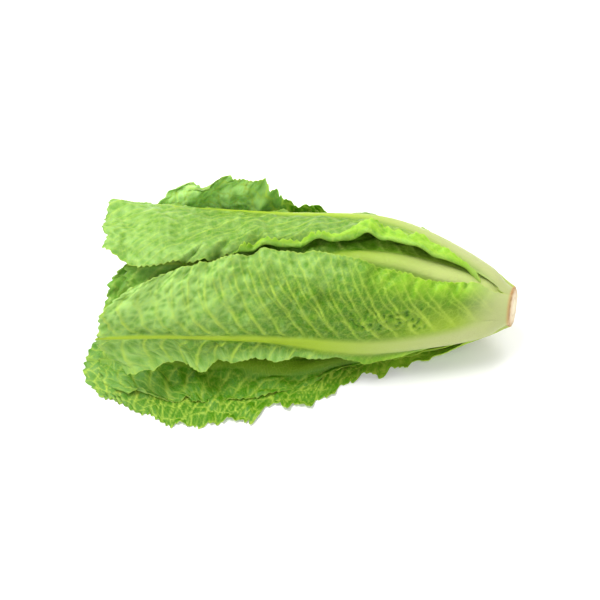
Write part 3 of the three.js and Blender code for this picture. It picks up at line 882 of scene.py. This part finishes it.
def combine(nodes, links, operation, *values):
    """A sum done on masks, kept between 0 and 1."""
    maths = nodes.new("ShaderNodeMath")
    maths.operation = operation
    maths.use_clamp = True
    for socket, value in enumerate(values):
        if isinstance(value, bpy.types.NodeSocket):
            links.new(value, maths.inputs[socket])
        else:
            maths.inputs[socket].default_value = value
    return maths.outputs["Value"]


PIT_SHADE = (0.035, 0.075, 0.003, 1)
DRIED_BROWN = (0.48, 0.27, 0.11, 1)


def leaf_skin_group():
    """Colour, roughness and fine relief of leaf tissue, from masks painted on the leaf."""
    group = bpy.data.node_groups.new("leaf_skin", "ShaderNodeTree")
    sockets = group.interface
    for name in (*PAINTED, "inside"):
        sockets.new_socket(name.capitalize(), in_out="INPUT", socket_type="NodeSocketFloat")
    sockets.new_socket("Leaf Place", in_out="INPUT", socket_type="NodeSocketVector")
    for name in (
        "Outside Green", "Outside Tip", "Inside Green", "Inside Tip",
        "Young Green", "Vein Pale", "Rib Green", "Base White",
    ):
        sockets.new_socket(name, in_out="INPUT", socket_type="NodeSocketColor")
    sockets.new_socket("Color", in_out="OUTPUT", socket_type="NodeSocketColor")
    sockets.new_socket("Roughness", in_out="OUTPUT", socket_type="NodeSocketFloat")
    sockets.new_socket("Height", in_out="OUTPUT", socket_type="NodeSocketFloat")
    nodes, links = group.nodes, group.links
    given = nodes.new("NodeGroupInput").outputs
    result = nodes.new("NodeGroupOutput").inputs

    def ramp(value, low, high):
        return ramp_value(nodes, links, value, low, high)

    def times(first, second):
        return combine(nodes, links, "MULTIPLY", first, second)

    def less(first, second):
        return combine(nodes, links, "SUBTRACT", first, second)

    def most(first, second):
        return combine(nodes, links, "MAXIMUM", first, second)

    def mix(first, second, factor):
        return mix_color(nodes, links, first, second, factor)

    patches = nodes.new("ShaderNodeTexNoise")
    patches.inputs["Scale"].default_value = 16
    patches.inputs["Detail"].default_value = 5
    links.new(given["Leaf Place"], patches.inputs["Vector"])
    fine = nodes.new("ShaderNodeTexVoronoi")
    fine.feature = "DISTANCE_TO_EDGE"
    fine.inputs["Scale"].default_value = 40
    links.new(given["Leaf Place"], fine.inputs["Vector"])
    grain = nodes.new("ShaderNodeTexNoise")
    grain.inputs["Scale"].default_value = 160
    grain.inputs["Detail"].default_value = 3
    links.new(given["Leaf Place"], grain.inputs["Vector"])
    fine_lines = less(1, ramp(fine.outputs["Distance"], 0, 0.1))

    # Blade: the outside is duller and pales towards the tip, the inside is a deep green
    at_margin = times(times(ramp(given["Margin"], 0.55, 0.95), 0.6), ramp(given["Grown"], 0.3, 0.5))
    at_tip = times(ramp(given["Grown"], 0.6, 0.98), 0.6)
    # Painted light: the "Pale" mask pales the leaves and sides that face the light
    outer_pale = most(most(at_tip, at_margin), given["Pale"])
    outside = mix(given["Outside Green"], given["Outside Tip"], outer_pale)
    inner_pale = most(times(ramp(given["Grown"], 0.76, 1.0), 0.18), given["Pale"])
    inside = mix(given["Inside Green"], given["Inside Tip"], inner_pale)
    green = mix(outside, inside, given["Inside"])
    # Blotches of paler and darker tone: partly the leaf's own uneven colour, partly painted
    # highlights and painted shade of small bumps and dents
    pale_blotch_and_highlight = times(ramp(patches.outputs["Fac"], 0.48, 0.68), 0.4)
    pale_blotch_and_highlight = times(pale_blotch_and_highlight, ramp(given["Grown"], 0.3, 0.6))
    green = mix(green, given["Outside Tip"], times(pale_blotch_and_highlight, less(1, given["Inside"])))
    dark_blotch_and_shade = times(less(1, ramp(patches.outputs["Fac"], 0.3, 0.5)), 0.45)
    green = mix(green, given["Inside Green"], dark_blotch_and_shade)
    # Young tissue near the base is pale on the midrib's side and bright at the margin
    young = less(1, ramp(given["Grown"], 0.08, 0.42))
    pale = times(young, less(1, ramp(given["Margin"], 0.25, 0.8)))
    green = mix(green, given["Rib Green"], times(pale, 0.85))
    green = mix(green, given["Young Green"], times(given["Young"], 0.8))
    # Painted shade: the hollows, pits and crimp valleys marked by "Dent" are darkened, the deepest
    # pits to PIT_SHADE
    green = mix(green, given["Inside Green"], times(given["Dent"], 0.65))
    green = mix(green, PIT_SHADE, times(ramp(given["Dent"], 0.9, 1.6), 0.55))
    # Veins, from the finest to the midrib
    green = mix(green, given["Vein Pale"], times(fine_lines, 0.16))
    shown = combine(nodes, links, "MULTIPLY_ADD", given["Inside"], 0.3, 0.4)
    green = mix(green, given["Vein Pale"], times(given["Net"], shown))
    green = mix(green, given["Vein Pale"], times(given["Vein"], 0.66))
    rib = mix(given["Base White"], given["Rib Green"], ramp(given["Grown"], 0.06, 0.5))
    green = mix(green, rib, times(given["Rib"], less(1, times(given["Inside"], 0.6))))
    white = less(1, ramp(given["Grown"], 0.02, 0.13))
    white = times(white, less(1, ramp(given["Margin"], 0.4, 0.85)))
    foot = less(1, ramp(given["Grown"], 0.01, 0.13))
    green = mix(green, given["Base White"], most(white, foot))
    edge = times(ramp(given["Margin"], 0.985, 1.0), 0.4)
    green = mix(green, given["Vein Pale"], edge)
    at_cut = times(less(1, ramp(given["Grown"], 0.001, 0.009)), 0.8)
    green = mix(green, DRIED_BROWN, at_cut)
    links.new(green, result["Color"])

    rough = nodes.new("ShaderNodeMapRange")
    rough.inputs["To Min"].default_value = 0.32
    rough.inputs["To Max"].default_value = 0.55
    links.new(grain.outputs["Fac"], rough.inputs["Value"])
    links.new(rough.outputs["Result"], result["Roughness"])
    height = nodes.new("ShaderNodeMath")
    height.operation = "MULTIPLY_ADD"
    height.inputs[1].default_value = 0.35
    links.new(grain.outputs["Fac"], height.inputs[0])
    links.new(fine_lines, height.inputs[2])
    links.new(height.outputs["Value"], result["Height"])
    return group


leaf_skin = leaf_skin_group()


def leaf_material(name, colors):
    material, nodes, links, shader = new_material(name)
    skin = nodes.new("ShaderNodeGroup")
    skin.node_tree = leaf_skin
    for attribute in (*PAINTED, "inside"):
        reader = nodes.new("ShaderNodeAttribute")
        reader.attribute_name = attribute
        links.new(reader.outputs["Fac"], skin.inputs[attribute.capitalize()])
    leaf_place = nodes.new("ShaderNodeUVMap")
    leaf_place.uv_map = "UVMap"
    links.new(leaf_place.outputs["UV"], skin.inputs["Leaf Place"])
    for socket, color in colors.items():
        skin.inputs[socket].default_value = (*color, 1)
    links.new(skin.outputs["Color"], shader.inputs["Base Color"])
    links.new(skin.outputs["Roughness"], shader.inputs["Roughness"])
    bump = nodes.new("ShaderNodeBump")
    bump.inputs["Strength"].default_value = 0.4
    bump.inputs["Distance"].default_value = 0.0003
    links.new(skin.outputs["Height"], bump.inputs["Height"])
    links.new(bump.outputs["Normal"], shader.inputs["Normal"])
    shader.inputs["Subsurface Weight"].default_value = 0.2
    shader.inputs["Subsurface Radius"].default_value = (0.0014, 0.002, 0.0005)
    shader.inputs["Subsurface Scale"].default_value = 1
    shader.inputs["Specular IOR Level"].default_value = 0.2
    return material


outer_skin = leaf_material("outer_leaf", {
    "Outside Green": (0.060, 0.158, 0.002),
    "Outside Tip": (0.31, 0.52, 0.135),
    "Inside Green": (0.062, 0.21, 0.001),
    # Inside Tip is the paler tip tissue, brightened further as painted light for the back leaf's
    # inner side
    "Inside Tip": (0.48, 0.75, 0.260),
    "Young Green": (0.26, 0.50, 0.018),
    "Vein Pale": (0.43, 0.58, 0.065),
    "Rib Green": (0.29, 0.42, 0.023),
    "Base White": (0.40, 0.44, 0.18),
})
# The inner leaves' greens are their own deep green, darkened further as painted shade for the shade
# deep inside the head
inner_skin_and_shade = leaf_material("inner_leaf", {
    "Outside Green": (0.085, 0.23, 0.004),
    "Outside Tip": (0.20, 0.42, 0.060),
    "Inside Green": (0.07, 0.22, 0.002),
    "Inside Tip": (0.16, 0.38, 0.040),
    "Young Green": (0.22, 0.45, 0.018),
    "Vein Pale": (0.38, 0.53, 0.09),
    "Rib Green": (0.29, 0.44, 0.034),
    "Base White": (0.44, 0.51, 0.17),
})
heart_skin = leaf_material("heart_leaf", {
    "Outside Green": (0.40, 0.60, 0.100),
    "Outside Tip": (0.42, 0.62, 0.150),
    "Inside Green": (0.36, 0.58, 0.070),
    "Inside Tip": (0.38, 0.60, 0.110),
    "Young Green": (0.42, 0.62, 0.080),
    "Vein Pale": (0.66, 0.76, 0.34),
    "Rib Green": (0.64, 0.74, 0.300),
    "Base White": (0.74, 0.78, 0.48),
})


def grow_leaf(index):
    leaf = LEAVES[index]
    columns, rows = GRIDS.get(leaf["node"], HEART_GRID)
    piece, facts = make_leaf(index, columns, rows)
    thicken(piece, facts)
    if index < OUTER_LEAVES:
        skin, slot = outer_skin, "outer_leaf"
    elif index < INNER_LEAVES:
        skin, slot = inner_skin_and_shade, "inner_leaf"
    else:
        skin, slot = heart_skin, "heart_leaf"
    piece.data.materials.append(skin)
    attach(piece, "root")
    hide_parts(leaf["node"])


for leaf_index in range(len(LEAVES)):
    grow_leaf(leaf_index)


# Studio: a plain pale floor and a pale surround. Soft light falls from the upper left, and
# weaker light from behind and from in front brings out the margins and fills the shadows.
FLOOR_SIZE = 8
FLOOR_DROP = 0.0002
SURROUND_LIGHT = 0.74

bpy.ops.object.select_all(action="DESELECT")
bpy.ops.mesh.primitive_plane_add(size=FLOOR_SIZE, location=(0, 0, -FLOOR_DROP))
floor = bpy.context.object
floor.name = "floor"
floor_material, _, _, floor_shader = new_material("pale_floor")
floor_shader.inputs["Base Color"].default_value = (0.94, 0.94, 0.93, 1)
floor_shader.inputs["Roughness"].default_value = 0.9
floor.data.materials.append(floor_material)

world = bpy.data.worlds.new("studio")
bpy.context.scene.world = world
world.use_nodes = True
surround = world.node_tree.nodes["Background"]
surround.inputs["Color"].default_value = (1, 1, 1, 1)
surround.inputs["Strength"].default_value = SURROUND_LIGHT


def add_softbox(name, position, size, power):
    """A square soft light that looks at the middle of the head."""
    bpy.ops.object.light_add(type="AREA", location=position)
    light = bpy.context.object
    light.name = name
    light.data.size = size
    light.data.energy = power
    light.rotation_euler = (Vector(position) - VIEW_TARGET).to_track_quat("Z", "Y").to_euler()


add_softbox("key_light", position=(-0.6, 0.05, 1.35), size=0.8, power=21)
add_softbox("rim_light", position=(0.2, 0.85, 0.9), size=0.6, power=6)
add_softbox("fill_light", position=(0.5, -1.1, 0.8), size=1.2, power=6)

bpy.context.scene.view_settings.view_transform = "Standard"
